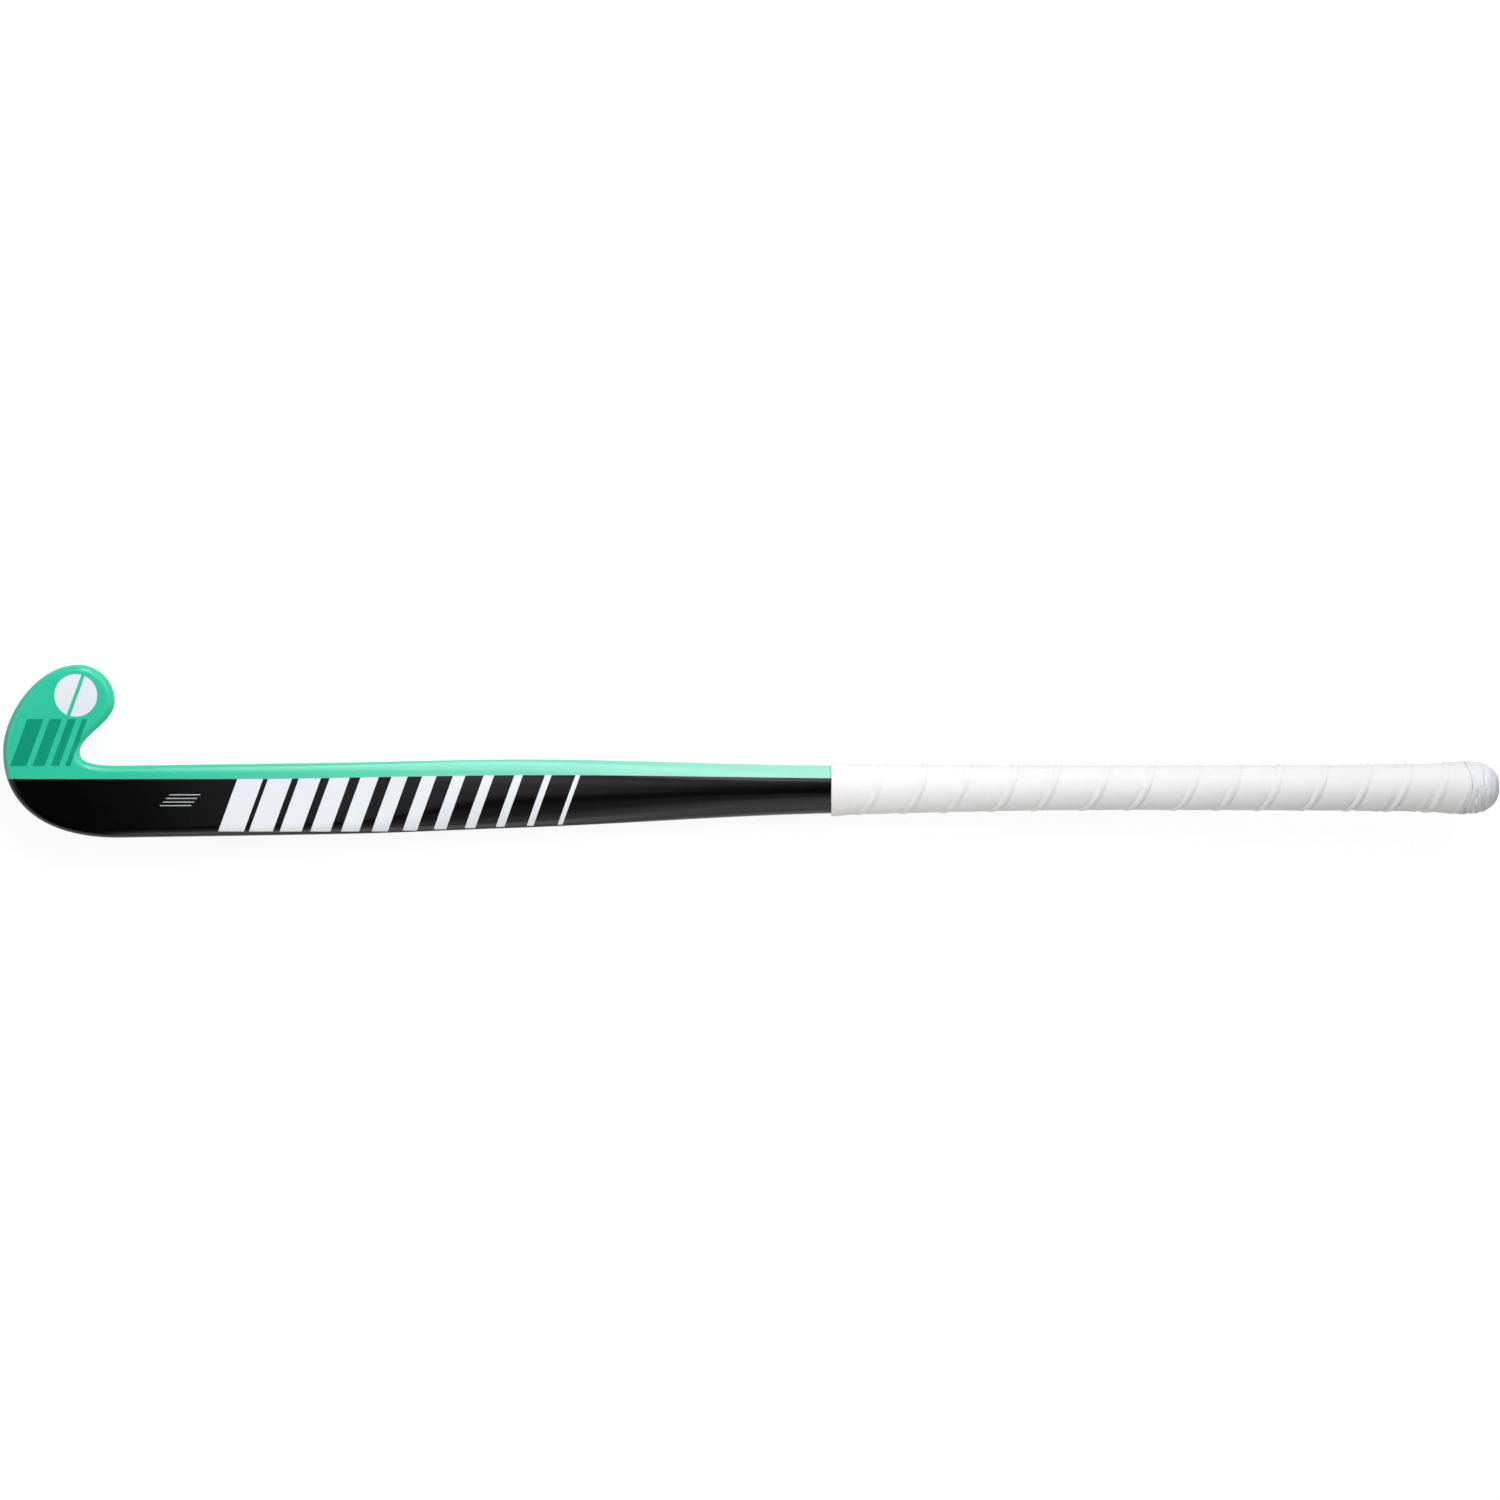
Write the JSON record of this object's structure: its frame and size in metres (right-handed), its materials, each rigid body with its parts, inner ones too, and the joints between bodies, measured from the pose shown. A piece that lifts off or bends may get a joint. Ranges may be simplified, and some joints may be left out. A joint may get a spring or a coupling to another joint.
{
  "type": "indoor hockey stick",
  "caption": "Indoor hockey stick: flat playing face, up-curled toe, bowed tapering shaft, wound cushioned grip and a round butt cup.",
  "frame": {"origin": "bottom centre of the box round the stick as it lies on its curved back with the playing face up", "axes": "+X along the shaft from the head to the butt, +Y towards the toe, +Z out of the playing face"},
  "size_m": [0.927, 0.1072, 0.0534],
  "materials": {
    "lacquered_composite": "glossy lacquer over a carbon and glass fibre laminate, teal green along the toe side and black along the heel side",
    "head_filler": "cast resin filler",
    "damping_elastomer": "matte sheet",
    "core_foam": "rigid foam",
    "bridge_composite": "unpainted laminate",
    "plug_plastic": "moulded plastic",
    "knob_rubber": "moulded rubber",
    "cup_polyurethane": "soft white polyurethane, lightly wrinkled",
    "finishing_tape": "white adhesive tape",
    "grip_polyurethane": "soft white cushioned polyurethane tape"
  },
  "bodies": {
    "root": {"composite_shell": "lacquered_composite", "head_core": "head_filler", "face_damping_layer": "damping_elastomer", "toe_side_core": "core_foam", "heel_side_core": "core_foam", "core_bridge": "bridge_composite", "handle_core": "core_foam", "butt_plug": "plug_plastic", "knob_ring": "knob_rubber", "butt_cup": "cup_polyurethane", "finishing_tape": "finishing_tape", "grip_tape": "grip_polyurethane"}
  },
  "joints": []
}
